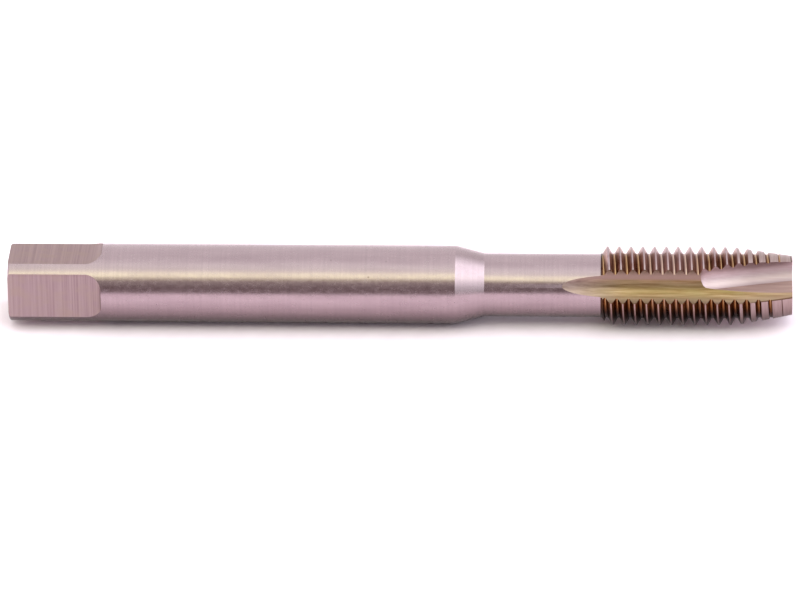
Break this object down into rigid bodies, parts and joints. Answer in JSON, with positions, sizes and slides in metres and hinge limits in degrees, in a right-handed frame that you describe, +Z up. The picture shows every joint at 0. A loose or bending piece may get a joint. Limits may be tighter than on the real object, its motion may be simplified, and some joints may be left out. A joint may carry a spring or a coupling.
{
  "type": "machine tap",
  "caption": "Spiral-point machine tap with straight flutes, coarse metric thread, reduced neck and a round shank with a drive square.",
  "frame": {"origin": "centre of the flat face at the drive end, on the tap's axis", "axes": "+X along the axis towards the cutting tip, +Z up as the tap lies with a flute downwards, -Y towards the viewer of the picture"},
  "size_m": [0.1, 0.01, 0.01],
  "materials": {
    "high_speed_steel": "ground high-speed steel, with darker thread grooves and a straw-tinted flute"
  },
  "bodies": {
    "root": {"thread_tap": "high_speed_steel"}
  },
  "joints": []
}
